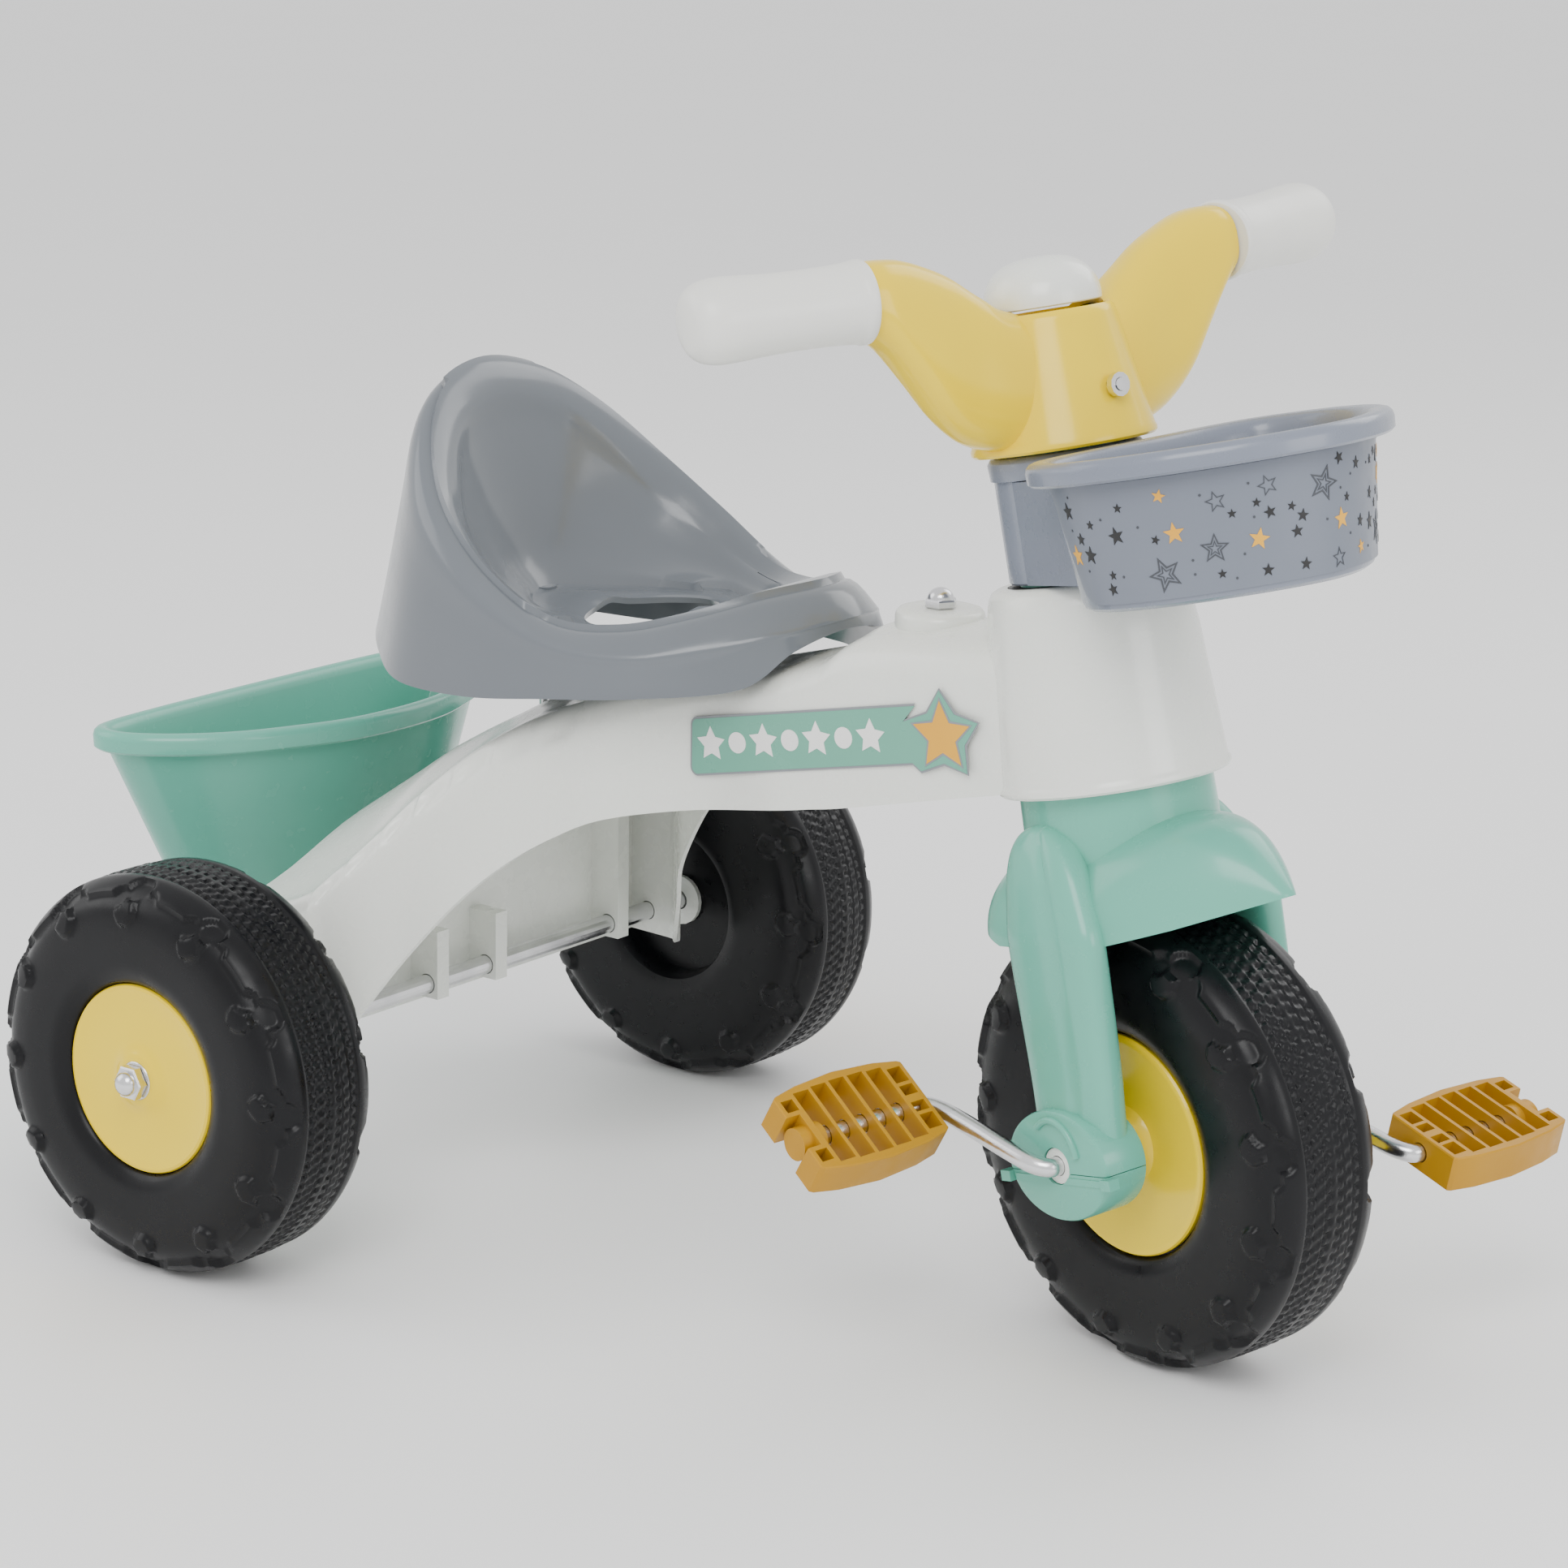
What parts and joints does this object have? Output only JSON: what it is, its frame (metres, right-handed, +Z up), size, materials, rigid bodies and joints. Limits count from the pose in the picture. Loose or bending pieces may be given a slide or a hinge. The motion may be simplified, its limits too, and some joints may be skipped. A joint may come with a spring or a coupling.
{
  "type": "pedal tricycle",
  "caption": "Toddler's pedal tricycle: moulded frame, scooped seat, steering fork with handlebar, pedals on the front wheel, front basket, tipping rear bucket.",
  "frame": {"origin": "middle of the bounding box, on the ground", "axes": "+X forwards, +Y to the rider's left, +Z up; at rest the handlebar is turned about 15 degrees to the rider's right"},
  "size_m": [0.7185, 0.5, 0.5309],
  "materials": {
    "white_plastic": "semi-gloss white moulding",
    "grip_plastic": "satin white grip",
    "mint_plastic": "semi-gloss mint green moulding",
    "yellow_plastic": "glossy yellow moulding",
    "seat_plastic": "glossy grey moulding",
    "basket_plastic": "semi-gloss blue-grey moulding",
    "tyre_plastic": "satin black blow-moulded tyre",
    "bush_plastic": "black moulded bush",
    "pedal_plastic": "satin ochre moulding",
    "steel": "bright zinc-plated steel",
    "basket_label_film": "printed film",
    "side_label_film": "printed film"
  },
  "bodies": {
    "frame": {"frame_shell": "white_plastic", "side_label_left": "side_label_film", "side_label_right": "side_label_film", "neck_bush_upper": "bush_plastic", "neck_bush_lower": "bush_plastic", "frame_bolt": "steel", "frame_cap_nut": "steel", "seat": "seat_plastic", "seat_screw_front": "steel", "seat_screw_rear": "steel", "rear_axle": "steel", "axle_washer_left": "steel", "axle_washer_right": "steel", "axle_nut_left": "steel", "axle_nut_right": "steel", "bucket_pivot_pin": "steel"},
    "bucket": {"rear_bucket": "mint_plastic"},
    "rear_wheel_left": {"rear_tyre_left": "tyre_plastic", "rear_disc_left": "yellow_plastic", "rear_hub_bush_left": "white_plastic"},
    "rear_wheel_right": {"rear_tyre_right": "tyre_plastic", "rear_disc_right": "yellow_plastic", "rear_hub_bush_right": "white_plastic"},
    "steering": {"fork": "mint_plastic", "fork_cap_left": "mint_plastic", "fork_cap_right": "mint_plastic", "crank_bush_left": "white_plastic", "crank_bush_right": "white_plastic", "handlebar": "yellow_plastic", "grip_left": "grip_plastic", "grip_right": "grip_plastic", "handlebar_bolt": "steel", "handlebar_nut": "steel", "horn_bellows": "bush_plastic", "basket": "basket_plastic", "basket_label": "basket_label_film"},
    "horn": {"horn_button": "white_plastic"},
    "front_wheel": {"front_tyre": "tyre_plastic", "front_disc_left": "yellow_plastic", "front_disc_right": "yellow_plastic", "front_hub": "white_plastic", "crankshaft": "steel", "pedal_retainer_left": "steel", "pedal_retainer_right": "steel"},
    "pedal_left": {"pedal_left": "pedal_plastic"},
    "pedal_right": {"pedal_right": "pedal_plastic"}
  },
  "joints": [
    {"name": "steering_hinge", "type": "hinge", "parent": "frame", "child": "steering", "pos_m": [0.2244, 0, 0.1094], "axis": [-0.217, 0, 0.9762], "range_deg": [-25.4, 54.6]},
    {"name": "front_wheel_spin", "type": "hinge", "parent": "steering", "child": "front_wheel", "pos_m": [0.2244, 0, 0.1094], "axis": [0.2456, 0.9678, 0.0546], "continuous": true},
    {"name": "pedal_left_spin", "type": "hinge", "parent": "front_wheel", "child": "pedal_left", "pos_m": [0.32754, 0.107, 0.1023], "axis": [0.2456, 0.9678, 0.0546], "continuous": true},
    {"name": "pedal_right_spin", "type": "hinge", "parent": "front_wheel", "child": "pedal_right", "pos_m": [0.12126, -0.107, 0.1165], "axis": [0.2456, 0.9678, 0.0546], "continuous": true},
    {"name": "rear_wheel_left_spin", "type": "hinge", "parent": "frame", "child": "rear_wheel_left", "pos_m": [-0.2152, 0.2045, 0.1], "axis": [0, 1, 0], "continuous": true},
    {"name": "rear_wheel_right_spin", "type": "hinge", "parent": "frame", "child": "rear_wheel_right", "pos_m": [-0.2152, -0.2045, 0.1], "axis": [0, 1, 0], "continuous": true},
    {"name": "horn_press", "type": "slide", "parent": "steering", "child": "horn", "axis": [0.217, 0, -0.9762], "range_m": [0, 0.0025], "stiffness_N_per_m": 300, "springref_m": -0.002},
    {"name": "bucket_tip", "type": "hinge", "parent": "frame", "child": "bucket", "pos_m": [-0.3152, 0, 0.114], "axis": [0, -1, 0], "range_deg": [0, 70]}
  ]
}
